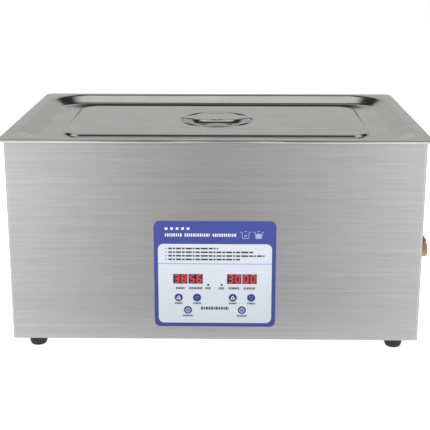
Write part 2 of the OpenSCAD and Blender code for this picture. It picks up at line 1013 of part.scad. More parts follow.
// Mains and transducer wires that run along the base and up to their parts
module wiring_loom() {
    r = 1.6;
    low = base_top + 4;
    color("firebrick") union() {
        for (i = [0:2])
            wire([[inlet_x - 7 + 7 * i, back_y - inlet_deep - r, inlet_z],
                  [inlet_x - 7 + 7 * i, back_y - 30 - 4 * i, inlet_z],
                [inlet_x - 7 + 7 * i, back_y - 30 - 4 * i, low],
                [gen_x - gen_w / 2 - 4 - 5 * i, back_y - 30 - 4 * i, low],
                [gen_x - gen_w / 2 - 4 - 5 * i, gen_y - 20 + 6 * i, low],
                [gen_x - gen_w / 2 - 4 - 5 * i, gen_y - 20 + 6 * i, gen_top + 2],
                [gen_x - gen_w / 2 + 8, gen_y - 20 + 6 * i, gen_top + 2]], r);
        wire([[0, board_y + board_t + r, board_z + 20], [0, board_y + 12, board_z + 20],
            [0, board_y + 12, low], [0, gen_y - gen_d / 2 - 6, low],
            [0, gen_y - gen_d / 2 - 6, gen_top + 2], [0, gen_y - gen_d / 2 + 6, gen_top + 2]], r);
        wire([[fan_x, back_y - sheet_t - fan_deep - r, fan_z], [fan_x, back_y - 34, fan_z],
            [fan_x, back_y - 34, low], [gen_x + gen_w / 2 + 6, back_y - 34, low],
            [gen_x + gen_w / 2 + 6, back_y - 34, gen_top + 2],
            [gen_x + gen_w / 2 - 4, back_y - 34, gen_top + 2]], r);
    }
}

housing();
base_plate();
base_screws();
feet();
foot_screws();
tank();
lid();
lid_handle();
panel_plate();
for (i = [0:len(panel_nodes) - 1]) display(i);
indicator_lamps();
for (i = [0:len(button_nodes) - 1]) button(i);
control_board();
tact_switches();
control_spacers();
control_screws();
transducer_fronts();
transducer_ceramics();
transducer_backs();
transducer_bolts();
generator_board();
generator_spacers();
transformer();
heatsink();
power_transistors();
capacitors();
heater_pads();
temp_sensor();
drain_strainer();
drain_fitting();
drain_gasket();
drain_elbow();
drain_pipe();
wall_nut();
valve_body();
valve_ball();
valve_stem();
valve_lever();
lever_sleeve();
lever_nut();
mains_inlet();
fuse_drawer();
switch_bezel();
switch_rocker();
fan_frame();
fan_rotor();
fan_guard();
fan_screws();
handle_brackets();
handle(-1);  // handle_left
handle(1);  // handle_right
wiring_loom();
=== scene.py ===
import math

import bmesh
import bpy
from bpy.props import FloatProperty, PointerProperty, StringProperty
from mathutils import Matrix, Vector


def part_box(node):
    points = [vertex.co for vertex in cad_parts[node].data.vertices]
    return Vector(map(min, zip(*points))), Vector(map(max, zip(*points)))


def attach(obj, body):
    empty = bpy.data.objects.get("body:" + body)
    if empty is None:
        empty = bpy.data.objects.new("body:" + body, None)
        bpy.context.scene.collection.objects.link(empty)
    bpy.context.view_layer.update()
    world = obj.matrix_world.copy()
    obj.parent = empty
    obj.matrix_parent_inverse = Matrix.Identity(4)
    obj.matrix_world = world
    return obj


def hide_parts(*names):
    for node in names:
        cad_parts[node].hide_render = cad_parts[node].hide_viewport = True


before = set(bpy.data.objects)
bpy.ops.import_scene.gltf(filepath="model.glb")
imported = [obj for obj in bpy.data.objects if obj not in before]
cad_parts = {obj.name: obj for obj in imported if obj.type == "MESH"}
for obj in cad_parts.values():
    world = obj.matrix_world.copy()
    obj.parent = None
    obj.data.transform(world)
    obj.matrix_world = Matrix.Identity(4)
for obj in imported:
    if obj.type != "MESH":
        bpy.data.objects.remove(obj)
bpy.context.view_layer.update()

bl_info = {
    "name": "Ultrasonic Cleaner Builder",
    "version": (1, 0, 0),
    "blender": (4, 5, 0),
    "location": "View3D > Sidebar > Cleaner",
    "description": "Builds the finished surfaces of a bench-top ultrasonic cleaner around its fixed frame",
    "category": "Add Mesh",
}

MM = 0.001
ROOT = "root"
# Blue border under the white field of the panel, and blue header over it, in millimetres.
FIELD_EDGE = 5
FIELD_HEADER = 29


# ---------------------------------------------------------------- small tools

def rest_selection():
    """Leave edit mode and select nothing."""
    if bpy.context.object and bpy.context.object.mode != "OBJECT":
        bpy.ops.object.mode_set(mode="OBJECT")
    bpy.ops.object.select_all(action="DESELECT")


def hold(*pieces):
    """Select these pieces alone; the first is the active one."""
    rest_selection()
    for piece in pieces:
        piece.select_set(True)
    bpy.context.view_layer.objects.active = pieces[0]


def new_piece(name):
    """An empty mesh piece at the origin, left in edit mode."""
    rest_selection()
    bpy.ops.object.add(type="MESH", enter_editmode=True)
    piece = bpy.context.object
    piece.name = name
    piece.data.name = name
    return piece


def edit(piece):
    """Enter edit mode with nothing selected."""
    hold(piece)
    bpy.ops.object.mode_set(mode="EDIT")
    bpy.ops.mesh.select_all(action="DESELECT")


def done():
    """Leave edit mode."""
    bpy.ops.object.mode_set(mode="OBJECT")


def pick(piece, test, kind="VERT"):
    """In edit mode, select only the corners, edges or faces whose middle and normal pass the test."""
    bpy.ops.mesh.select_mode(type=kind)
    bpy.ops.mesh.select_all(action="DESELECT")
    shape = bmesh.from_edit_mesh(piece.data)
    if kind == "VERT":
        for corner in shape.verts:
            corner.select_set(test(corner.co, corner.normal))
    elif kind == "EDGE":
        for line in shape.edges:
            middle = (line.verts[0].co + line.verts[1].co) / 2
            line.select_set(test(middle, line.verts[1].co - line.verts[0].co))
    else:
        for face in shape.faces:
            face.select_set(test(face.calc_center_median(), face.normal))
    shape.select_flush_mode()
    bmesh.update_edit_mesh(piece.data)


def finish_modifier(piece, kind, **settings):
    """Add one modifier with its settings and apply it."""
    hold(piece)
    step = piece.modifiers.new(kind.title(), kind)
    for key, value in settings.items():
        setattr(step, key, value)
    bpy.ops.object.modifier_apply(modifier=step.name)


def settle(piece, turn=(0, 0, 0), place=(0, 0, 0)):
    """Turn and place a piece, then put both into its mesh."""
    hold(piece)
    piece.rotation_euler = turn
    piece.location = place
    bpy.ops.object.transform_apply(location=True, rotation=True, scale=True)


def stand_front(piece, x=0.0, y=0.0, z=0.0):
    """Stand a flat piece up so that it looks out of the front wall."""
    settle(piece, (math.pi / 2, 0, 0), (x, y, z))


def stand_back(piece, x=0.0, y=0.0, z=0.0):
    """Stand a flat piece up so that it looks out of the back wall."""
    settle(piece, (math.pi / 2, 0, math.pi), (x, y, z))


def face_outwards(piece, gap=0.0):
    """Recalculate a closed shell's normals, after its doubles nearer than a gap in millimetres are merged."""
    edit(piece)
    bpy.ops.mesh.select_all(action="SELECT")
    if gap:
        bpy.ops.mesh.remove_doubles(threshold=gap * MM)
    bpy.ops.mesh.normals_make_consistent(inside=False)
    done()


def smooth(piece, degrees=32):
    """Shade smooth across edges flatter than this."""
    hold(piece)
    bpy.ops.object.shade_smooth_by_angle(angle=math.radians(degrees))


def copy_piece(piece, name, shift):
    """A copy with its own mesh, moved by shift."""
    hold(piece)
    bpy.ops.object.duplicate(linked=False)
    twin = bpy.context.object
    twin.name = name
    twin.data.name = name
    settle(twin, place=shift)
    return twin


def join(pieces):
    """Join pieces into the first one."""
    hold(*pieces)
    bpy.ops.object.join()
    return bpy.context.object


def cut(piece, cutter):
    """Cut the cutter's space out of a piece and throw the cutter away."""
    finish_modifier(piece, "BOOLEAN", operation="DIFFERENCE", solver="EXACT", object=cutter)
    bpy.data.objects.remove(cutter)


def towards(spot, other, reach):
    """A station on the way from one station to another, at most half of the way."""
    side = 0.5 * (other[0] - spot[0])
    share = min(0.5, reach / math.hypot(side, other[3] - spot[3]))
    return tuple(a + (b - a) * share for a, b in zip(spot, other))


def rounded_folds(keys, steps=4):
    """Stations (width, depth, corner, z) from keys (station, fold), each fold drawn as a smooth bend."""
    run = []
    for i, (spot, fold) in enumerate(keys):
        if not fold:
            run.append(spot)
            continue
        before = towards(spot, keys[i - 1][0], fold)
        after = towards(spot, keys[i + 1][0], fold)
        for k in range(steps + 1):
            t = k / steps
            run.append(tuple((1 - t) ** 2 * a + 2 * t * (1 - t) * m + t * t * b
                             for a, m, b in zip(before, spot, after)))
    return run


def disc(radius, z):
    """A round station."""
    return (2 * radius, 2 * radius, radius, z)


def around(radius, degrees):
    """A place on a circle."""
    angle = math.radians(degrees)
    return radius * math.cos(angle), radius * math.sin(angle)


def draw_outline(width, depth, corner, z, corner_steps):
    """One closed outline in edit mode: a rectangle with rounded corners, which meet when it is a circle."""
    centre = (0, 0, z)
    bpy.ops.mesh.primitive_plane_add(size=1, location=centre)
    bpy.ops.transform.resize(value=(width, depth, 1), center_override=centre)
    widest = 0.498 * min(width, depth)
    bpy.ops.mesh.bevel(offset=min(corner, widest), segments=corner_steps, affect="VERTICES")
    bpy.ops.mesh.delete(type="ONLY_FACE")
    # Leaving and entering edit mode numbers the corners in the order in which they were drawn.
    bpy.ops.object.mode_set(mode="OBJECT")
    bpy.ops.object.mode_set(mode="EDIT")


def loft(name, stations, corner_steps=15, caps=(False, False)):
    """A shell drawn through stations in millimetres, with its ends open or capped."""
    piece = new_piece(name)
    count = 4 * (corner_steps + 1)
    for width, depth, corner, z in stations:
        draw_outline(width * MM, depth * MM, corner * MM, z * MM, corner_steps)
    shape = bmesh.from_edit_mesh(piece.data)
    shape.verts.ensure_lookup_table()
    corners = list(shape.verts)
    # All outlines are drawn alike, so corner k of one faces corner k of the next: one walk serves them all.
    walk = [0]
    while len(walk) < count:
        near = [line.other_vert(corners[walk[-1]]).index for line in corners[walk[-1]].link_edges]
        walk.append(next(k for k in near if k not in walk))
    rings = [[corners[ring * count + k] for k in walk] for ring in range(len(stations))]
    for inner, outer in zip(rings, rings[1:]):
        for k in range(count):
            shape.faces.new((inner[k - 1], inner[k], outer[k], outer[k - 1]))
    for ring, wanted in ((rings[0], caps[0]), (rings[-1], caps[1])):
        if wanted:
            shape.faces.new(ring)
    bmesh.update_edit_mesh(piece.data)
    done()
    face_outwards(piece)
    return piece


def look_up(piece):
    """Make an open shell's normals look up."""
    if sum(face.normal.z * face.area for face in piece.data.polygons) < 0:
        edit(piece)
        bpy.ops.mesh.select_all(action="SELECT")
        bpy.ops.mesh.flip_normals()
        done()


def bars(name, places, soft=0.1, depth=0.06):
    """Flat printed marks: places are (x, y, width, height, turn in degrees) in millimetres."""
    piece = new_piece(name)
    for x, y, width, height, turn in places:
        bpy.ops.mesh.primitive_cube_add(size=1, location=(x * MM, y * MM, depth / 2 * MM),
                                        rotation=(0, 0, math.radians(turn)),
                                        scale=(width * MM, height * MM, depth * MM))
    pick(piece, lambda middle, run: abs(run.z) > 0.9 * run.length, "EDGE")
    bpy.ops.mesh.bevel(offset=soft * MM, segments=2)
    done()
    return piece


def annulus(name, outer, inner, depth):
    """A flat printed ring."""
    stations = [disc(inner, 0), disc(outer, 0), disc(outer, depth), disc(inner, depth), disc(inner, 0)]
    piece = loft(name, stations, 11)
    face_outwards(piece, 0.001)
    return piece


def rod(name, points, radius, bend, sides=10, closed=False):
    """A round wire through points in millimetres, with each corner bent to a radius."""
    rest_selection()
    bpy.ops.curve.primitive_bezier_curve_add(enter_editmode=False)
    wire = bpy.context.object
    wire.name = name
    path = wire.data
    path.splines.clear()
    run = []
    spots = [Vector(p) * MM for p in points]
    for i, spot in enumerate(spots):
        if not closed and i in (0, len(spots) - 1) or bend == 0:
            run.append(spot)
            continue
        start, end = (spot + (other - spot).normalized() * bend * MM
                      for other in (spots[i - 1], spots[(i + 1) % len(spots)]))
        for k in range(9):
            t = k / 8
            run.append(start * (1 - t) ** 2 + spot * 2 * t * (1 - t) + end * t * t)
    spline = path.splines.new("POLY")
    spline.points.add(len(run) - 1)
    for point, spot in zip(spline.points, run):
        point.co = (*spot, 1)
    spline.use_cyclic_u = closed
    path.dimensions = "3D"
    path.bevel_depth = radius * MM
    path.bevel_resolution = sides // 2 - 1
    path.use_fill_caps = not closed
    hold(wire)
    bpy.ops.object.convert(target="MESH")
    piece = bpy.context.object
    piece.data.name = name
    face_outwards(piece, 0.001)
    settle(piece)
    return piece


def bevelled_copy(node, name, width, segments=2, angle=30):
    """A merged copy of a CAD node with its sharp edges rounded off."""
    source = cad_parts[node]
    rest_selection()
    twin = source.copy()
    twin.data = source.data.copy()
    bpy.context.collection.objects.link(twin)
    twin.name = name
    twin.data.name = name
    twin.parent = None
    edit(twin)
    bpy.ops.mesh.select_all(action="SELECT")
    bpy.ops.mesh.customdata_custom_splitnormals_clear()
    bpy.ops.mesh.remove_doubles(threshold=0.002 * MM)
    bpy.ops.mesh.dissolve_limited(angle_limit=math.radians(0.5))
    done()
    finish_modifier(twin, "BEVEL", width=width * MM, segments=segments, limit_method="ANGLE",
                    angle_limit=math.radians(angle), use_clamp_overlap=True, harden_normals=False)
    smooth(twin)
    return twin


def wear(piece, finish):
    """Give a piece its material."""
    piece.data.materials.clear()
    piece.data.materials.append(finish)


def place_on(piece, finish, body, slot, *nodes):
    """Give a shaped piece its finish and its body, and hide the CAD nodes that it stands for. The slot is not
    used.
    """
    wear(piece, FINISH[finish])
    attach(piece, body)
    if nodes:
        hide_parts(*nodes)


# ---------------------------------------------------------------- finishes

def linear(code):
    """An sRGB hex colour as a linear RGBA value."""
    parts = [int(code[k:k + 2], 16) / 255 for k in (1, 3, 5)]
    return tuple(c / 12.92 if c <= 0.04045 else ((c + 0.055) / 1.055) ** 2.4 for c in parts) + (1.0,)


def add_node(tree, kind, inputs=None, **settings):
    """Add a node with its settings; an input is a value or another node's output."""
    node = tree.nodes.new(kind)
    for key, value in settings.items():
        setattr(node, key, value)
    for key, value in (inputs or {}).items():
        if isinstance(value, bpy.types.NodeSocket):
            tree.links.new(value, node.inputs[key])
        else:
            node.inputs[key].default_value = value
    return node


def per_m(size_mm):
    """Pattern scale for a feature of this size."""
    return 1 / (size_mm * MM)


def blank_finish(name, metallic, roughness, ior=None):
    """A new material with its shader and its object coordinates. A metal keeps the default IOR."""
    finish = bpy.data.materials.new(name)
    finish.use_nodes = True
    tree = finish.node_tree
    shader = tree.nodes["Principled BSDF"]
    shader.inputs["Metallic"].default_value = metallic
    shader.inputs["Roughness"].default_value = roughness
    if ior:
        shader.inputs["IOR"].default_value = ior
    place = add_node(tree, "ShaderNodeTexCoord").outputs["Object"]
    return finish, tree, shader, place


def two_tone(tree, shader, pattern, dark, light, low=0.3, high=0.7):
    """Colour between two tones by a pattern."""
    ramp = add_node(tree, "ShaderNodeValToRGB", {"Fac": pattern})
    for stop, position, tone in zip(ramp.color_ramp.elements, (low, high), (dark, light)):
        stop.position = position
        stop.color = linear(tone)
    tree.links.new(ramp.outputs["Color"], shader.inputs["Base Color"])
    return ramp.outputs["Color"]


def rough_by(tree, shader, pattern, low, high):
    """Roughness between two values by a pattern."""
    spread = add_node(tree, "ShaderNodeMapRange", {"Value": pattern, "To Min": low, "To Max": high})
    tree.links.new(spread.outputs["Result"], shader.inputs["Roughness"])


def raise_by(tree, shader, pattern, height_mm, strength):
    """Relief of this height by a pattern."""
    relief = add_node(tree, "ShaderNodeBump",
                      {"Height": pattern, "Distance": height_mm * MM, "Strength": strength})
    tree.links.new(relief.outputs["Normal"], shader.inputs["Normal"])


# Node, result and settings of each shape of pattern.
PATTERNS = {
    "cloud": ("ShaderNodeTexNoise", "Fac", {}),
    "flake": ("ShaderNodeTexVoronoi", "Distance", {}),
    "rows": ("ShaderNodeTexWave", "Fac", {"bands_direction": "Z"}),
}


def pattern(tree, place, shape, size, **inputs):
    """A pattern of one shape: size is a feature in millimetres, or one size for each axis."""
    scale = 1.0
    if isinstance(size, tuple):
        stretch = tuple(per_m(part) for part in size)
        place = add_node(tree, "ShaderNodeMapping", {"Vector": place, "Scale": stretch}).outputs[0]
    else:
        scale = per_m(size)
    kind, result, settings = PATTERNS[shape]
    return add_node(tree, kind, {"Vector": place, "Scale": scale, **inputs}, **settings).outputs[result]


def brushed_stainless(name, colours):
    """304 stainless sheet, No. 4 brushed: long fine horizontal scratches streak a soft, satin reflection.
    The real scratches are about 0.1 mm apart; they are drawn 0.5 mm apart so that they show."""
    finish, tree, shader, place = blank_finish(name, 1.0, 0.34)
    scratch = pattern(tree, place, "cloud", (45, 45, 0.5), Detail=4.0, Roughness=0.65)
    band = pattern(tree, place, "cloud", (300, 300, 2.4), Detail=2.0)
    both = add_node(tree, "ShaderNodeMix", {"Factor": 0.25, "A": scratch, "B": band}).outputs["Result"]
    two_tone(tree, shader, both, colours.steel_dark, colours.steel_light)
    rough_by(tree, shader, scratch, 0.4, 0.5)
    round_z = add_node(tree, "ShaderNodeTangent", direction_type="RADIAL", axis="Z")
    tree.links.new(round_z.outputs["Tangent"], shader.inputs["Tangent"])
    shader.inputs["Anisotropic"].default_value = 0.85
    shader.inputs["Anisotropic Rotation"].default_value = 0.25
    raise_by(tree, shader, scratch, 0.01, 0.25)
    return finish


def polished_stainless(name, colours):
    """304 stainless, drawn and buffed: a clear but slightly hazy mirror, with faint wiping marks."""
    finish, tree, shader, place = blank_finish(name, 1.0, 0.14)
    wipe = pattern(tree, place, "cloud", (30, 2.2, 30), Detail=3.0)
    haze = pattern(tree, place, "cloud", 45, Detail=3.0)
    two_tone(tree, shader, haze, colours.polish_dark, colours.polish_light, 0.35, 0.65)
    rough_by(tree, shader, wipe, 0.09, 0.14)
    raise_by(tree, shader, wipe, 0.004, 0.1)
    return finish


def turned_brass(name):
    """Machined brass, slightly dulled: muted yellow with tool marks across the bar."""
    finish, tree, shader, place = blank_finish(name, 1.0, 0.3)
    mark = pattern(tree, place, "cloud", (0.6, 20, 20), Detail=2.0)
    tarnish = pattern(tree, place, "cloud", 7, Detail=4.0)
    two_tone(tree, shader, tarnish, "#75623F", "#A38F66")
    rough_by(tree, shader, mark, 0.22, 0.4)
    raise_by(tree, shader, mark, 0.03, 0.4)
    return finish


def printed_film(name, bottom_painted_shade_colour, top_painted_light_colour, low_z, high_z):
    """Screen-printed polycarbonate overlay, velvet side out: an even ink under a fine satin grain,
    with painted light over it: the colour is a little lighter towards the top of the sheet and darker towards
    its bottom, as if lit from above."""
    finish, tree, shader, place = blank_finish(name, 0.0, 0.42, 1.58)
    split = add_node(tree, "ShaderNodeSeparateXYZ", {"Vector": place})
    # Painted light: this height ramp colours the sheet darker at its bottom and lighter at its top.
    height = add_node(tree, "ShaderNodeMapRange",
                      {"Value": split.outputs["Z"], "From Min": low_z, "From Max": high_z,
                       "To Min": 0.15, "To Max": 0.85})
    grain = pattern(tree, place, "cloud", 0.5, Detail=3.0)
    # Mostly the painted light of the height ramp, with a little of the real satin grain.
    shade = add_node(tree, "ShaderNodeMix", {"Factor": 0.22, "A": height.outputs[0], "B": grain})
    two_tone(tree, shader, shade.outputs["Result"], bottom_painted_shade_colour, top_painted_light_colour, 0.15, 0.85)
    rough_by(tree, shader, grain, 0.36, 0.5)
    raise_by(tree, shader, grain, 0.02, 0.3)
    return finish


def lit_segment(name, colours):
    """Lit red display segment: glowing epoxy, very slightly uneven."""
    finish, tree, shader, place = blank_finish(name, 0.0, 0.4, 1.5)
    glow = pattern(tree, place, "cloud", 2, Detail=1.0)
    red = two_tone(tree, shader, glow, colours.digit_dark, colours.digit_light)
    tree.links.new(red, shader.inputs["Emission Color"])
    shader.inputs["Emission Strength"].default_value = 0.3
    return finish


def solder_mask(name):
    """FR4 circuit board under green solder mask: glossy green with paler copper tracks showing through."""
    finish, tree, shader, place = blank_finish(name, 0.0, 0.3, 1.55)
    track = add_node(tree, "ShaderNodeTexBrick", {"Vector": place, "Scale": per_m(14), "Mortar Size": 0.05,
                                                  "Color1": linear("#14532F"), "Color2": linear("#185C36"),
                                                  "Mortar": linear("#2F7F4C")})
    tree.links.new(track.outputs["Color"], shader.inputs["Base Color"])
    rough_by(tree, shader, track.outputs["Fac"], 0.26, 0.4)
    return finish


def backlit_acrylic(name, dark, light, glow, reach=0.0):
    """Backlit white acrylic shooting table: an even soft glow with no hard shadows. With a reach, it is
    covered by a graduated grey sheet that clears towards its sides."""
    finish, tree, shader, place = blank_finish(name, 0.0, 0.85, 1.45)
    if reach:
        split = add_node(tree, "ShaderNodeSeparateXYZ", {"Vector": place})
        side = add_node(tree, "ShaderNodeMath", {0: split.outputs["X"]}, operation="ABSOLUTE")
        tone = add_node(tree, "ShaderNodeMapRange", {"Value": side.outputs[0], "From Max": reach}).outputs[0]
    else:
        tone = pattern(tree, place, "cloud", 40, Detail=2.0)
    colour = two_tone(tree, shader, tone, dark, light, 0.05, 0.95)
    tree.links.new(colour, shader.inputs["Emission Color"])
    shader.inputs["Emission Strength"].default_value = glow
    return finish


def patterned(name, base, shape, size, inputs, tones, rough=None, relief=None):
    """A finish of one pattern. Base is metallic, roughness and IOR; rough is its range of roughness;
    relief is its height in millimetres and its strength."""
    finish, tree, shader, place = blank_finish(name, *base)
    grain = pattern(tree, place, shape, size, **inputs)
    two_tone(tree, shader, grain, *tones)
    if rough:
        rough_by(tree, shader, grain, *rough)
    if relief:
        raise_by(tree, shader, grain, *relief)
    return finish


def ink(dark, light):
    """Screen-printed ink: nearly even, with the mesh's faint mottle, a little duller than the film."""
    return (0.0, 0.55, 1.5), "cloud", 0.8, {"Detail": 2.0}, (dark, light), (0.5, 0.6)


def moulded_abs(dark, light, roughness):
    """Moulded ABS: an even colour with a fine spark-eroded grain and soft gloss."""
    return ((0.0, roughness, 1.53), "flake", 0.7, {}, (dark, light, 0.1, 0.8),
            (roughness - 0.06, roughness + 0.08), (0.02, 0.35))


def simple_finishes(colours):
    """What patterned needs for each finish of one pattern, by its name."""
    return {
        # Deep-drawn stainless left satin: a soft grey with no clear reflection, clouded by the press.
        "satin_stainless": ((0.75, 0.4), "cloud", 40, {"Detail": 3.0}, ("#A8A8A8", "#BEBEBE"), (0.36, 0.46)),
        # Zinc-plated mild steel: a cool bright grey with small pale flakes.
        "zinc_plated_steel": ((1.0, 0.32), "flake", 2.5, {}, ("#B9BEC4", "#D3D6DA", 0.1, 0.8), (0.24, 0.4)),
        # Moulded nitrile rubber: nearly black, dull, with a fine cast grain and a little grey dust.
        "moulded_rubber": ((0.0, 0.72, 1.52), "cloud", 1.2, {"Detail": 5.0}, ("#151515", "#222222"),
                           (0.62, 0.82), (0.05, 0.5)),
        # Smoked acrylic display window: dark grey and glossy, with the faintest clouding.
        "smoked_acrylic": ((0.0, 0.12, 1.49), "cloud", 6, {"Detail": 1.0}, ("#2A282C", "#363338"),
                           (0.1, 0.18)),
        # Dip-coated soft PVC: a saturated red with a wet sheen and slight runs.
        "dipped_vinyl": ((0.0, 0.38, 1.53), "cloud", 9, {"Detail": 2.0},
                         (colours.lever_dark, colours.lever_light), (0.3, 0.46), (0.15, 0.3)),
        # Fired lead-zirconate ring: a warm off-white with fine pores.
        "fired_ceramic": ((0.0, 0.5, 1.8), "cloud", 0.9, {"Detail": 4.0}, ("#B9B2A2", "#D8D2C4"), None,
                          (0.03, 0.4)),
        # Silicone-rubber heating mat: brick red, with the heating wire's faint rows under its skin.
        "silicone_rubber": ((0.0, 0.6, 1.43), "rows", 40, {"Distortion": 0.4},
                            ("#8E3F22", "#B3562F", 0.1, 0.9), None, (0.2, 0.5)),
        # Enamelled copper winding: brown-gold turns side by side under varnish, drawn 1 mm apart.
        "enamelled_copper": ((0.0, 0.35, 1.55), "rows", 6.3, {}, ("#5F2F16", "#A8622E", 0.1, 0.9), None,
                             (0.2, 0.6)),
        # PVC hook-up wire: dark grey with a soft sheen and slight handling marks.
        "wire_pvc": ((0.0, 0.45, 1.53), "cloud", 5, {"Detail": 3.0}, ("#222428", "#33363C"), (0.38, 0.55)),
        "white_ink": ink("#E4E8F2", "#F6F8FC"),
        "pale_ink": ink("#9DA7D6", "#ADB5DE"),
        "dark_ink": ink("#25282D", "#33373D"),
        "blue_ink": ink("#7680B4", "#8992C2"),
        "faint_ink": ink("#5663AE", "#6672BA"),
        "glossy_black_abs": moulded_abs("#17181A", "#26282B", 0.25),
        "blue_abs": moulded_abs(colours.button_dark, colours.button_light, 0.35),
        "black_abs": moulded_abs("#141416", "#222326", 0.42),
        "red_abs": moulded_abs("#7E1512", "#A4211C", 0.3),
    }


def turned_aluminium(name):
    """Turned and extruded aluminium: pale grey metal with fine machining lines."""
    finish, tree, shader, place = blank_finish(name, 1.0, 0.38)
    mark = pattern(tree, place, "cloud", (12, 12, 0.8), Detail=3.0)
    two_tone(tree, shader, mark, "#AEB1B5", "#CFD2D5")
    rough_by(tree, shader, mark, 0.3, 0.46)
    raise_by(tree, shader, mark, 0.02, 0.4)
    return finish


def all_finishes(colours):
    """Every finish of the cleaner by its name, made once."""
    if FINISH:
        return
    low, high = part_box("panel_plate")
    field_low, field_high = low.z + FIELD_EDGE * MM, high.z - FIELD_HEADER * MM
    for name, recipe in simple_finishes(colours).items():
        FINISH[name] = patterned(name, *recipe)
    for make in (turned_brass, turned_aluminium, solder_mask):
        FINISH[make.__name__] = make(make.__name__)
    for make in (brushed_stainless, polished_stainless, lit_segment):
        FINISH[make.__name__] = make(make.__name__, colours)
    # Painted light: both films are coloured darker at their bottom and lighter at their top.
    FINISH["blue_film"] = printed_film("blue_polycarbonate", colours.film_bottom_painted_shade, colours.film_top_painted_light,
                                       low.z, high.z)
    FINISH["white_film"] = printed_film("white_polycarbonate", colours.field_low, colours.field_high,
                                        field_low, field_high)


FINISH = {}

# The finish of each CAD node that is shown as it is.
NODE_FINISH = {
    "brushed_stainless": ("housing", "base_plate"),
    "polished_stainless": ("drain_strainer",),
    "zinc_plated_steel": ("base_screws", "foot_screws", "control_screws", "fan_screws", "transducer_bolts",
                          "valve_ball", "valve_stem", "wall_nut", "control_spacers", "transducer_backs"),
    "turned_brass": ("drain_fitting", "drain_elbow", "drain_pipe", "temp_sensor"),
    "moulded_rubber": ("drain_gasket",),
    "black_abs": ("fan_frame", "fan_rotor", "generator_spacers", "capacitors", "power_transistors",
                  "tact_switches"),
    "solder_mask": ("control_board", "generator_board"),
    "fired_ceramic": ("transducer_ceramics",),
    "turned_aluminium": ("transducer_fronts", "heatsink"),
    "silicone_rubber": ("heater_pads",),
    "enamelled_copper": ("transformer",),
    "wire_pvc": ("wiring_loom",),
    "blue_film": ("panel_plate",),
}


# ---------------------------------------------------------------- sizes and colours

def size_property(name, description, default, least, most):
    """A size in millimetres."""
    return FloatProperty(name=name, description=description + ", in millimetres", default=default,
                         min=least, max=most)


def colour_property(name, description, default):
    """A colour kept as an sRGB hex value."""
    return StringProperty(name=name, description=description, default=default)


class CleanerSizes(bpy.types.PropertyGroup):
    """Sizes that a user would change."""
    lid_fold: size_property("Lid edge fold", "Bend radius of the lid's outer edge", 2.2, 0.5, 3.0)
    pan_fold: size_property("Lid pan fold", "Bend size along the lid's sunken pan", 4.0, 1.0, 8.0)
    strap_width: size_property("Strap width", "Width of the finger strap's middle", 44.0, 20.0, 50.0)
    stroke: size_property("Digit stroke", "Width of a display segment", 2.0, 1.0, 2.5)
    wire_radius: size_property("Handle wire radius", "Radius of the carry handles' wire", 2.65, 2.0, 2.7)
    lens: size_property("Camera lens", "Focal length of the camera", 76.8, 20.0, 200.0)


class CleanerColours(bpy.types.PropertyGroup):
    """Colours that a user would change, as sRGB hex values."""
    steel_dark: colour_property("Brushed steel, dark", "Scratch bottoms of the brushed housing", "#B8B8B8")
    steel_light: colour_property("Brushed steel, light", "Ridges of the brushed housing", "#D4D4D4")
    polish_dark: colour_property("Polished steel, dark", "Hazy patches of the polished lid", "#BBBBBA")
    polish_light: colour_property("Polished steel, light", "Clear patches of the polished lid", "#C3C3C2")
    # Painted light: each panel pair below is one ink, painted darker at the bottom as shade and lighter at
    # the top as light from above.
    film_bottom_painted_shade: colour_property("Panel blue, bottom", "Blue film at the panel's bottom", "#25358A")
    film_top_painted_light: colour_property("Panel blue, top", "Blue film at the panel's top", "#3243A0")
    field_low: colour_property("Panel white, bottom", "White field at its bottom", "#C6CDD8")
    field_high: colour_property("Panel white, top", "White field at its top", "#DCE1EA")
    digit_dark: colour_property("Digits, dark", "Display segments' darker red", "#BE1A28")
    digit_light: colour_property("Digits, light", "Display segments' brighter red", "#D42A36")
    button_dark: colour_property("Buttons, dark", "Buttons' darker blue", "#1A2670")
    button_light: colour_property("Buttons, light", "Buttons' lighter blue", "#243286")
    lever_dark: colour_property("Lever sleeve, dark", "Sleeve's darker red", "#9A1C1E")
    lever_light: colour_property("Lever sleeve, light", "Sleeve's lighter red", "#BE2A2C")


# ---------------------------------------------------------------- the pieces, one operator each

class CleanerStep:
    """What every step has in common: it can be undone."""
    bl_options = {"REGISTER", "UNDO"}


class CleanerFinishes(CleanerStep, bpy.types.Operator):
    """Make every finish and give the frame's own parts theirs"""
    bl_idname = "cleaner.finishes"
    bl_label = "Finishes"

    def execute(self, context):
        all_finishes(context.scene.cleaner_colours)
        for key, names in NODE_FINISH.items():
            for name in names:
                wear(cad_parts[name], FINISH[key])
        return {"FINISHED"}


class CleanerTank(CleanerStep, bpy.types.Operator):
    """Draw the deep tank with its flange, rounded corners and rounded floor"""
    bl_idname = "cleaner.tank"
    bl_label = "Tank"

    def execute(self, context):
        low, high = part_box("tank")
        top = high.z / MM
        wall = 1.2
        floor = low.z / MM + wall
        width, depth = (high.x - low.x) / MM, (high.y - low.y) / MM
        inner_w, inner_d, corner, floor_r = 500, 300, 35, 22
        drain_x, drain_radius = 205, 9
        keys = [
            ((width, depth, 6, top), 0),
            ((inner_w, inner_d, corner, top), 1.5),
            ((inner_w, inner_d, corner, floor), floor_r),
            ((inner_w - 3 * floor_r, inner_d - 3 * floor_r, 8, floor), 0),
        ]
        tank = loft("tank_pan", rounded_folds(keys, 7), caps=(False, True))
        look_up(tank)
        finish_modifier(tank, "SOLIDIFY", thickness=wall * MM, offset=-1, use_even_offset=True)
        rest_selection()
        bpy.ops.mesh.primitive_cylinder_add(vertices=48, radius=drain_radius * MM, depth=10 * MM,
                                            location=(drain_x * MM, 0, floor * MM))
        cut(tank, bpy.context.object)
        smooth(tank)
        place_on(tank, "satin_stainless", ROOT, "polished_steel", "tank")
        return {"FINISHED"}


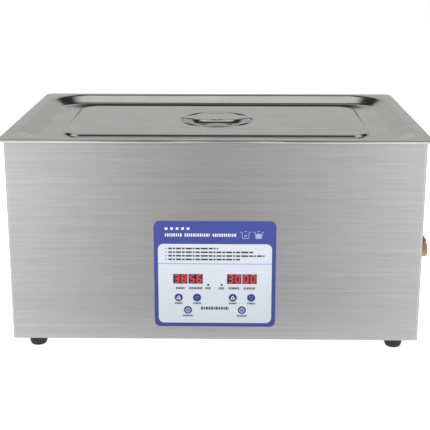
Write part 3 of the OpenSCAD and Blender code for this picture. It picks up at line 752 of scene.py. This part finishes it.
class CleanerLid(CleanerStep, bpy.types.Operator):
    """Press the lid: folded rim, sunken pan, raised middle and round finger dish"""
    bl_idname = "cleaner.lid"
    bl_label = "Lid"

    def execute(self, context):
        sizes = context.scene.cleaner_sizes
        low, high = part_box("lid")
        top = high.z / MM
        width, depth = (high.x - low.x) / MM, (high.y - low.y) / MM
        skirt, sheet = 3.4, 0.8
        trough = top - 10
        middle = trough + 2.8
        dish_low = middle - 11
        keys = [
            ((width, depth, 6, top - skirt), 0),
            ((width, depth, 6, top), sizes.lid_fold),
            ((500, 300, 50, top), sizes.pan_fold),
            ((460, 260, 38, trough), sizes.pan_fold),
            ((400, 200, 28, trough), 1.2),
            ((394, 194, 25, middle), 1.2),
            ((386, 186, 22, middle), 0),
            (disc(56, middle), 0),
            (disc(50.4, middle), 0.5),
            (disc(49.7, middle + 1.1), 0.6),
            (disc(46.8, middle + 1.2), 0.8),
            (disc(44, middle), 1.5),
            (disc(34, dish_low + 2), 4),
            (disc(26, dish_low), 3),
            (disc(8, dish_low), 0),
        ]
        lid = loft("lid_shell", rounded_folds(keys), corner_steps=19, caps=(False, True))
        look_up(lid)
        finish_modifier(lid, "SOLIDIFY", thickness=sheet * MM, offset=-1, use_even_offset=False)
        smooth(lid, 40)
        place_on(lid, "polished_stainless", "lid", "polished_steel", "lid")
        return {"FINISHED"}


class CleanerStrap(CleanerStep, bpy.types.Operator):
    """Bend the leaf-shaped finger strap across the dish"""
    bl_idname = "cleaner.strap"
    bl_label = "Finger strap"

    def execute(self, context):
        sizes = context.scene.cleaner_sizes
        low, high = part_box("lid_handle")
        reach = high.x - 0.6 * MM
        columns, rows = 40, 10
        thick = 1.1 * MM
        bow = 1.7 * MM
        tip = 0.6 * MM
        rest_selection()
        bpy.ops.mesh.primitive_grid_add(x_subdivisions=columns, y_subdivisions=rows, size=2 * reach)
        strap = bpy.context.object
        strap.name = strap.data.name = "finger_strap"
        edit(strap)
        for k in range(columns + 1):
            x = -reach + 2 * reach * k / columns
            along = x / reach
            half = max(tip, 0.5 * sizes.strap_width * MM * (1 - abs(along) ** 2.1))
            height = bow * (1 - abs(along) ** 2.5)
            pick(strap, lambda spot, _: abs(spot.x - x) < 0.2 * MM)
            bpy.ops.transform.resize(value=(1, half / reach, 1), center_override=(x, 0, 0))
            bpy.ops.transform.translate(value=(0, 0, height))
        done()
        look_up(strap)
        finish_modifier(strap, "SOLIDIFY", thickness=thick, offset=1)
        finish_modifier(strap, "BEVEL", width=0.35 * MM, segments=2, limit_method="ANGLE",
                        angle_limit=math.radians(50))
        smooth(strap, 40)
        settle(strap, place=(0, 0, high.z - thick - 1.75 * MM))
        place_on(strap, "polished_stainless", "lid", "polished_steel", "lid_handle")
        return {"FINISHED"}


def button_spot(name):
    """Middle of a button's cap, and the height of its front."""
    low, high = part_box(name)
    return (low.x + high.x) / 2, (low.z + high.z) / 2, low.y


class CleanerPanel(CleanerStep, bpy.types.Operator):
    """Lay the white field, its line, marks and symbols on the blue panel"""
    bl_idname = "cleaner.panel_film"
    bl_label = "Panel film and print"

    def field(self, front):
        """The white field with openings for the displays, lamps and buttons."""
        low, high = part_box("panel_plate")
        width, height, film = 142, 105, 0.12
        middle = low.z / MM + FIELD_EDGE + height / 2
        film_piece = loft("panel_field", [(width, height, 7, 0), (width, height, 7, film)], 9, (True, True))
        cutters = []
        for name in DISPLAYS:
            a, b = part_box(name)
            rest_selection()
            bpy.ops.mesh.primitive_cube_add(
                size=1, location=((a.x + b.x) / 2, (a.z + b.z) / 2 - middle * MM, 0),
                scale=(b.x - a.x + 0.4 * MM, b.z - a.z + 0.4 * MM, 4 * MM))
            cutters.append(bpy.context.object)
        spots = [(button_spot(name)[:2], 5.2) for name in BUTTONS]
        spots += [((x, self.lamp_z()), 1.4) for x in (-8.4 * MM, 8.4 * MM)]
        for (x, z), radius in spots:
            rest_selection()
            bpy.ops.mesh.primitive_cylinder_add(vertices=40, radius=radius * MM, depth=4 * MM,
                                                location=(x, z - middle * MM, 0))
            cutters.append(bpy.context.object)
        cut(film_piece, join(cutters))
        smooth(film_piece)
        stand_front(film_piece, y=front, z=middle * MM)
        place_on(film_piece, "white_film", ROOT, "panel_print")

    def lamp_z(self):
        """Height of the lamps' middle."""
        low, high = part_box("indicator_lamps")
        return (low.z + high.z) / 2

    def dark_print(self, front):
        """Small marks in dark ink: four rows of dashes, labels, and the block mark between the keys."""
        dash = []
        words = (4.6, 2.6, 6.2, 3.4, 7.6, 2.2, 5.4, 8.8)
        for z, end in ((142.1, 3.9), (137.3, 47.6), (132.5, 61.8), (127.8, 31.4)):
            dash.append((-61, z, 1.3, 1.3, 0))
            dash += dashes(-58, end, z, 2.1, words, 1.2)
        for (x, width) in ((-43.4, 11), (-24.2, 16.6), (-8.4, 6.4), (8.4, 6.4), (24.2, 13.6), (43.4, 14)):
            dash += dashes(x - width / 2, x + width / 2, 89.6, 3.0, (1.5, 1.1, 1.3), 0.6)
        for name in BUTTONS:
            x, z, _ = button_spot(name)
            width = 12.4 if name in ("button_heat", "button_sonic") else 9.4
            dash += dashes(x / MM - width / 2, x / MM + width / 2, z / MM - 7.6, 2.4, (1.3, 1.0), 0.5)
        dash += dashes(-17.5, 17.5, 62.8, 3.7, (2.7, 1.3, 2.8, 2.1), 0.9)
        marks = bars("panel_marks", dash)
        stand_front(marks, y=front)
        place_on(marks, "dark_ink", ROOT, "panel_print")

    def line(self, front):
        """The thin blue line across the field."""
        rule = bars("panel_rule", [(0, 122, 141.6, 0.8, 0)])
        stand_front(rule, y=front)
        place_on(rule, "blue_ink", ROOT, "panel_print")

    def white_print(self, front):
        """White marks on the blue header: two rows of block dashes and two tray symbols."""
        marks = [(x, 168, 3.4, 3.0, 0) for x in (-60.4, -53.6, -46.8, -40.0, -33.2)]
        for start, end in ((-62, -40.6), (-37.6, -5.6), (-2.6, 27)):
            marks += dashes(start, end, 159.7, 4.0, (1.5, 1.9, 1.2), 1.15)
        trays = []
        for x, filled in ((38, False), (54.2, True)):
            trays += [(x - 5.5, 163.6, 2.6, 0.7, 0), (x + 5.5, 163.6, 2.6, 0.7, 0), (x, 155.6, 7.6, 0.7, 0),
                      (x - 4.0, 159.4, 0.7, 8.0, 6), (x + 4.0, 159.4, 0.7, 8.0, -6), (x, 164.6, 3.0, 0.7, 0)]
            if filled:
                trays.append((x, 158.9, 6.6, 5.6, 0))
            else:
                trays += [(x, 158.9, 0.8, 4.0, 45), (x, 158.9, 0.8, 4.0, -45)]
        for name, places, ink in (("panel_header_marks", marks, "white_ink"),
                                  ("panel_trays", trays, "pale_ink")):
            print_piece = bars(name, places)
            stand_front(print_piece, y=front)
            place_on(print_piece, ink, ROOT, "panel_print")

    def execute(self, context):
        plate_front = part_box("panel_plate")[0].y
        self.field(plate_front)
        on_field = plate_front - 0.12 * MM
        self.line(on_field)
        self.dark_print(on_field)
        self.white_print(plate_front)
        return {"FINISHED"}


def dashes(start, end, z, height, widths, gap):
    """A row of block dashes between two places, in repeating widths, that ends exactly at the end."""
    row = []
    x, k = start, 0
    while x < end - 0.4:
        width = min(widths[k % len(widths)], end - x)
        row.append((x + width / 2, z, width, height, 0))
        x += width + gap
        k += 1
    return row


DISPLAYS = ("display_set_temp", "display_now_temp", "display_minutes", "display_seconds")
READING = ("38", "56", "30", "00")
BUTTONS = ("button_temp_up", "button_temp_down", "button_time_up", "button_time_down", "button_heat",
           "button_sonic")

# Lit bars of a seven-segment digit, from the top bar round to the middle one.
SEGMENTS = {"0": "abcdef", "3": "abcdg", "5": "acdfg", "6": "acdefg", "8": "abcdefg"}


class CleanerDisplays(CleanerStep, bpy.types.Operator):
    """Build the four two-digit displays: smoked window and lit segments"""
    bl_idname = "cleaner.displays"
    bl_label = "Displays"

    def digit(self, figure, x, stroke):
        """The bars of one digit, flat and centred on x, leaning a little."""
        wide, tall = 6.6, 11.3
        across, half_w, half_h = wide - stroke - 0.3, wide / 2 - stroke / 2, tall / 2 - stroke / 2
        upright = half_h - 0.3
        places = {
            "a": (0, half_h, across, stroke), "d": (0, -half_h, across, stroke), "g": (0, 0, across, stroke),
            "b": (half_w, half_h / 2, stroke, upright), "c": (half_w, -half_h / 2, stroke, upright),
            "f": (-half_w, half_h / 2, stroke, upright), "e": (-half_w, -half_h / 2, stroke, upright),
        }
        lean = 0.05
        return [(x + px + lean * py, py, w, h, 0) for px, py, w, h in (places[s] for s in SEGMENTS[figure])]

    def execute(self, context):
        stroke = context.scene.cleaner_sizes.stroke
        for name, reading in zip(DISPLAYS, READING):
            low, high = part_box(name)
            middle = (low + high) / 2
            rest_selection()
            bpy.ops.mesh.primitive_cube_add(size=1, location=(0, 0, 0), scale=high - low)
            window = bpy.context.object
            window.name = window.data.name = name + "_window"
            settle(window)
            edit(window)
            pick(window, lambda spot, normal: normal.y < -0.9, "FACE")
            bpy.ops.mesh.bevel(offset=0.3 * MM, segments=2)
            done()
            settle(window, place=middle)
            smooth(window)
            figures = self.digit(reading[0], -4.4, stroke) + self.digit(reading[1], 4.4, stroke)
            digits = bars(name + "_digits", figures, soft=0.45 * stroke, depth=0.08)
            stand_front(digits, middle.x, low.y, middle.z)
            place_on(digits, "lit_segment", ROOT, "display")
            place_on(window, "smoked_acrylic", ROOT, "display", name)
        return {"FINISHED"}


class CleanerLamps(CleanerStep, bpy.types.Operator):
    """Turn the two indicator lamps with domed fronts"""
    bl_idname = "cleaner.lamps"
    bl_label = "Indicator lamps"

    def execute(self, context):
        low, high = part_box("indicator_lamps")
        deep = (high.y - low.y) / MM
        flange, lens = 1.85, 1.25
        x = high.x - flange * MM
        keys = [(disc(flange, -deep), 0), (disc(flange, 0.4 - deep / 3), 0.2), (disc(lens, -deep / 3), 0),
                (disc(lens, -0.5), 0), (disc(lens, 0), 0.8), (disc(0.1, 0), 0)]
        lamp = loft("indicator_lamp", rounded_folds(keys), 7, caps=(True, True))
        smooth(lamp)
        stand_front(lamp, -x, low.y, (low.z + high.z) / 2)
        twin = copy_piece(lamp, "indicator_lamp_time", (2 * x, 0, 0))
        place_on(lamp, "glossy_black_abs", ROOT, "black_plastic", "indicator_lamps")
        place_on(twin, "glossy_black_abs", ROOT, "black_plastic")
        return {"FINISHED"}


class CleanerButtons(CleanerStep, bpy.types.Operator):
    """Mould the six round keys with their printed symbols"""
    bl_idname = "cleaner.buttons"
    bl_label = "Buttons"

    def symbol(self, name):
        """Generic symbols: triangles for more and less, a ring with a bar for on and off."""
        if name in ("button_heat", "button_sonic"):
            ring = annulus(name + "_ring", 3.0, 2.45, 0.05)
            bar = bars(name + "_bar", [(0, 0.5, 0.6, 1.6, 0), (0, -0.9, 1.8, 0.5, 0)], depth=0.05)
            return join([ring, bar]), "white_ink"
        turn, lift, ink = (0, -0.25, "white_ink") if name.endswith("_up") else (180, 0.25, "faint_ink")
        side, stroke = 4.9, 0.95
        inner = side / (2 * math.sqrt(3))
        sides = []
        for k in range(3):
            x, y = around(inner, turn - 90 + 120 * k)
            sides.append((x, lift + y, side, stroke, turn + 120 * k))
        return bars(name + "_triangle", sides, depth=0.05), ink

    def execute(self, context):
        stem, rim, cap_r = 2.5, 6.1, 4.9
        for name in BUTTONS:
            low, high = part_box(name)
            deep = (high.y - low.y) / MM
            x, z, front = button_spot(name)
            keys = [(disc(stem, -deep), 0), (disc(stem, 0.7 - deep), 0), (disc(rim, 0.7 - deep), 0.2),
                    (disc(rim, 1.7 - deep), 0.2), (disc(cap_r, 1.7 - deep), 0), (disc(cap_r, -0.7), 0),
                    (disc(cap_r, -0.1), 0.5), (disc(cap_r - 1, 0), 0.6), (disc(0.3, -0.02), 0)]
            cap = loft(name + "_cap", rounded_folds(keys), 11, caps=(True, True))
            smooth(cap)
            mark, ink = self.symbol(name)
            settle(mark, place=(0, 0, -0.02 * MM))
            for piece in (cap, mark):
                stand_front(piece, x, front + 0.06 * MM, z)
            mark.name = mark.data.name = name + "_mark"
            place_on(cap, "blue_abs", name, "button_blue", name)
            place_on(mark, ink, name, "panel_print")
        return {"FINISHED"}


class CleanerFeet(CleanerStep, bpy.types.Operator):
    """Mould the four rubber feet, each with its screw recess"""
    bl_idname = "cleaner.feet"
    bl_label = "Feet"

    def execute(self, context):
        low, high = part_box("feet")
        top = high.z / MM
        wide, bore, recess, deep = 14, 2.3, 7, 6
        x, y = high.x - wide * MM, high.y - wide * MM
        keys = [(disc(bore, top), 0), (disc(wide, top), 0.8), (disc(wide, top - 5), 2),
                (disc(13.2, top - 6.5), 1), (disc(10.5, 2), 1.5), (disc(9, 0), 1.2), (disc(recess, 0), 0.6),
                (disc(recess, deep), 0.6), (disc(bore, deep), 0), (disc(bore, top), 0)]
        first = loft("foot_front_left", rounded_folds(keys), 9)
        face_outwards(first, 0.005)
        smooth(first, 40)
        settle(first, place=(-x, -y, 0))
        feet = [first,
                copy_piece(first, "foot_front_right", (2 * x, 0, 0)),
                copy_piece(first, "foot_back_left", (0, 2 * y, 0)),
                copy_piece(first, "foot_back_right", (2 * x, 2 * y, 0))]
        for foot in feet:
            place_on(foot, "moulded_rubber", ROOT, "rubber")
        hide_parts("feet")
        return {"FINISHED"}


class CleanerValve(CleanerStep, bpy.types.Operator):
    """Finish the drain valve: eased brass body, lever, and dipped sleeve"""
    bl_idname = "cleaner.valve"
    bl_label = "Drain valve"

    def execute(self, context):
        body = bevelled_copy("valve_body", "valve_casting", 0.45)
        place_on(body, "turned_brass", ROOT, "brass", "valve_body")
        sleeve = bevelled_copy("lever_sleeve", "lever_dip", 1.6, 4, 40)
        place_on(sleeve, "dipped_vinyl", "valve_handle", "red_plastic", "lever_sleeve")
        for node, name in (("valve_lever", "lever_strip"), ("lever_nut", "lever_hex_nut")):
            piece = bevelled_copy(node, name, 0.25)
            place_on(piece, "zinc_plated_steel", "valve_handle", "zinc_steel", node)
        return {"FINISHED"}


class CleanerHandles(CleanerStep, bpy.types.Operator):
    """Bend the two carry handles from round wire and press their grips on"""
    bl_idname = "cleaner.handles"
    bl_label = "Carry handles"

    def execute(self, context):
        radius = context.scene.cleaner_sizes.wire_radius
        for node, side in (("handle_left", -1), ("handle_right", 1)):
            low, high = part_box(node)
            pivot_x, pivot_z = side * 268.5, 205
            thick, grip_r, grip_half = 2.7, 4, 40
            half = high.y / MM - thick
            bottom = low.z / MM + grip_r
            wire_top = pivot_z - 4.4
            wire = rod(node + "_wire", [(pivot_x, -half, wire_top), (pivot_x, -half, bottom),
                                        (pivot_x, half, bottom), (pivot_x, half, wire_top)], radius, 11, 16)
            eyes = []
            for end in (-1, 1):
                hole, eye_r = 3.05, 6
                keys = [(disc(hole, -thick), 0), (disc(eye_r, -thick), 0.5), (disc(eye_r, thick), 0.5),
                        (disc(hole, thick), 0), (disc(hole, -thick), 0)]
                eye = loft(node + "_eye", rounded_folds(keys), 9)
                face_outwards(eye, 0.005)
                stand_front(eye, pivot_x * MM, end * half * MM, pivot_z * MM)
                eyes.append(eye)
            wire = join([wire] + eyes)
            smooth(wire, 50)
            keys = [(disc(thick, -grip_half), 0), (disc(grip_r, -grip_half), 0.8),
                    (disc(grip_r, grip_half), 0.8), (disc(thick, grip_half), 0)]
            grip = loft(node + "_grip", rounded_folds(keys), 7)
            smooth(grip, 50)
            stand_front(grip, pivot_x * MM, 0, bottom * MM)
            place_on(wire, "zinc_plated_steel", node, "zinc_steel", node)
            place_on(grip, "moulded_rubber", node, "rubber")
        brackets = bevelled_copy("handle_brackets", "handle_ears", 0.4)
        place_on(brackets, "zinc_plated_steel", ROOT, "zinc_steel", "handle_brackets")
        return {"FINISHED"}


class CleanerBackFittings(CleanerStep, bpy.types.Operator):
    """Finish the back wall: wire fan guard, inlet, fuse drawer and switch"""
    bl_idname = "cleaner.back_fittings"
    bl_label = "Back fittings"

    def execute(self, context):
        low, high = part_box("fan_guard")
        middle = (low + high) / 2
        thick = 0.98
        parts = []
        for radius in (10, 19, 28, 37):
            spots = [(*around(radius, a), 1.0) for a in range(0, 360, 6)]
            parts.append(rod("guard_ring", spots, thick, 0, 8, True))
        screw_reach, eye_r = 35.75, 3.3
        bar = screw_reach - 3
        for side in (1, -1):
            ends = [(-bar, -side * bar, 1.15), (bar, side * bar, 1.15)]
            parts.append(rod("guard_bar", ends, thick, 0, 8))
        for sx in (-1, 1):
            for sy in (-1, 1):
                ring = [around(eye_r, a) for a in range(0, 360, 20)]
                spots = [(sx * screw_reach + x, sy * screw_reach + y, 1.0) for x, y in ring]
                parts.append(rod("guard_eye", spots, thick, 0, 8, True))
        guard = join(parts)
        guard.name = guard.data.name = "fan_guard_wires"
        smooth(guard, 60)
        stand_back(guard, middle.x, low.y, middle.z)
        place_on(guard, "zinc_plated_steel", ROOT, "zinc_steel", "fan_guard")
        for node, name, body, finish, slot, width in (
                ("mains_inlet", "inlet_moulding", ROOT, "black_abs", "black_plastic", 0.5),
                ("fuse_drawer", "fuse_drawer_moulding", "fuse_drawer", "black_abs", "black_plastic", 0.3),
                ("switch_bezel", "switch_frame", ROOT, "black_abs", "black_plastic", 0.5),
                ("switch_rocker", "switch_key", "switch_rocker", "red_abs", "red_plastic", 0.5)):
            piece = bevelled_copy(node, name, width)
            place_on(piece, finish, body, slot, node)
        return {"FINISHED"}


class CleanerStage(CleanerStep, bpy.types.Operator):
    """Set the pale floor, the soft lights, the grey sheets and the camera"""
    bl_idname = "cleaner.stage"
    bl_label = "Stage"

    def softbox(self, name, spot, width, height, watts):
        """A large soft light at a place in metres, turned to face the cleaner."""
        rest_selection()
        bpy.ops.object.light_add(type="AREA", location=spot)
        light = bpy.context.object
        light.name = name
        light.data.shape = "RECTANGLE"
        light.data.size = width
        light.data.size_y = height
        light.data.energy = watts
        aim = Vector((0, 0, 0.2)) - Vector(spot)
        light.rotation_euler = aim.to_track_quat("-Z", "Y").to_euler()
        light.visible_camera = False
        return light

    def world(self):
        """Studio surround by height: pale backdrop, dark wall above it, bright ceiling panel, dark at the
        top, and darker to the sides and behind the camera."""
        world = bpy.data.worlds.new("soft_surround")
        bpy.context.scene.world = world
        world.use_nodes = True
        tree = world.node_tree
        background = tree.nodes["Background"]
        way = add_node(tree, "ShaderNodeTexCoord").outputs["Generated"]
        split = add_node(tree, "ShaderNodeSeparateXYZ", {"Vector": way})
        side = add_node(tree, "ShaderNodeMath", {0: split.outputs["X"]}, operation="ABSOLUTE")
        wide = add_node(tree, "ShaderNodeMapRange", {"Value": side.outputs[0], "From Min": 0.45,
                                                     "From Max": 0.95, "To Min": 1.0, "To Max": 0.2})
        height = add_node(tree, "ShaderNodeValToRGB", {"Fac": split.outputs["Z"]})
        bands = ((0.0, 0.6), (0.46, 0.55), (0.56, 0.04), (0.74, 0.04), (0.82, 0.95), (0.91, 0.95),
                 (0.96, 0.08))
        while len(height.color_ramp.elements) < len(bands):
            height.color_ramp.elements.new(1.0)
        for stop, (place, tone) in zip(height.color_ramp.elements, bands):
            stop.position = place
            stop.color = (tone, tone, tone, 1)
        behind = add_node(tree, "ShaderNodeMapRange", {"Value": split.outputs["Y"], "From Min": -0.75,
                                                       "From Max": 0.0, "To Min": 0.12, "To Max": 1.0})
        soft = wide
        for other in (behind, height):
            soft = add_node(tree, "ShaderNodeMath", {0: soft.outputs[0], 1: other.outputs[0]},
                            operation="MULTIPLY")
        seen = add_node(tree, "ShaderNodeLightPath").outputs["Is Camera Ray"]
        both = add_node(tree, "ShaderNodeMix", {"Factor": seen, "A": soft.outputs[0], "B": 1.0})
        tree.links.new(both.outputs["Result"], background.inputs["Strength"])
        background.inputs["Color"].default_value = (1, 1, 1, 1)

    def execute(self, context):
        rest_selection()
        bpy.ops.mesh.primitive_circle_add(vertices=96, radius=9, fill_type="NGON", location=(0, 0, 0))
        floor = bpy.context.object
        floor.name = floor.data.name = "floor"
        edit(floor)
        bpy.ops.mesh.select_all(action="SELECT")
        bpy.ops.mesh.inset(thickness=3)
        done()
        wear(floor, backlit_acrylic("acrylic_table", "#F3F3F3", "#FAFAFA", 0.8))
        for name, width, length, turn, spot in (
                ("graduated_sheet", 0.9, 2.2, (0, 0, 0), (0.02, -1.3, 0.001)),
                ("dark_card", 0.44, 1.3, (math.pi / 2, 0, 0), (0.03, -2.4, 0.66))):
            rest_selection()
            bpy.ops.mesh.primitive_grid_add(x_subdivisions=6, y_subdivisions=8, size=1)
            sheet = bpy.context.object
            sheet.name = sheet.data.name = name
            sheet.scale = (width, length, 1)
            settle(sheet)
            settle(sheet, turn, spot)
            wear(sheet, backlit_acrylic(name + "_film", "#9A9A9A", "#F6F6F6", 0.65, width / 2))
            sheet.visible_camera = sheet.visible_diffuse = sheet.visible_shadow = False
        self.softbox("softbox_left", (-1.5, -1.9, 1.2), 2.4, 2.1, 20)
        self.softbox("softbox_right", (1.55, -1.9, 1.2), 2.4, 2.1, 20)
        self.softbox("softbox_top", (0, 0.3, 2.4), 2.6, 2.2, 26).visible_glossy = False
        self.world()
        camera_data = bpy.data.cameras.new("camera")
        camera = bpy.data.objects.new("camera", camera_data)
        bpy.context.collection.objects.link(camera)
        camera_data.lens = context.scene.cleaner_sizes.lens
        camera_data.shift_y = -0.16
        camera_data.clip_start = 0.05
        camera.location = (17.4 * MM, -1237 * MM, 528 * MM)
        look_down, look_left = 0.232, 0.016
        camera.rotation_euler = (math.pi / 2 - look_down, 0, look_left)
        context.scene.camera = camera
        context.scene.view_settings.view_transform = "Standard"
        return {"FINISHED"}


# ---------------------------------------------------------------- sidebar and run

STEPS = (CleanerFinishes, CleanerTank, CleanerLid, CleanerStrap, CleanerPanel, CleanerDisplays, CleanerLamps,
         CleanerButtons, CleanerFeet, CleanerValve, CleanerHandles, CleanerBackFittings, CleanerStage)


class VIEW3D_PT_cleaner(bpy.types.Panel):
    """Lists the cleaner's sizes, colours and building steps"""
    bl_label = "Ultrasonic Cleaner"
    bl_space_type = "VIEW_3D"
    bl_region_type = "UI"
    bl_category = "Cleaner"

    def draw(self, context):
        layout = self.layout
        for group in (context.scene.cleaner_sizes, context.scene.cleaner_colours):
            box = layout.box()
            for key in group.bl_rna.properties.keys():
                if key not in ("rna_type", "name"):
                    box.prop(group, key)
        column = layout.column(align=True)
        for step in STEPS:
            column.operator(step.bl_idname)


CLASSES = (CleanerSizes, CleanerColours) + STEPS + (VIEW3D_PT_cleaner,)


def register():
    for kind in CLASSES:
        bpy.utils.register_class(kind)
    bpy.types.Scene.cleaner_sizes = PointerProperty(type=CleanerSizes)
    bpy.types.Scene.cleaner_colours = PointerProperty(type=CleanerColours)


def unregister():
    del bpy.types.Scene.cleaner_colours
    del bpy.types.Scene.cleaner_sizes
    for kind in reversed(CLASSES):
        bpy.utils.unregister_class(kind)


def main():
    register()
    for step in STEPS:
        group, name = step.bl_idname.split(".")
        getattr(getattr(bpy.ops, group), name)()


if __name__ == "__main__":
    main()
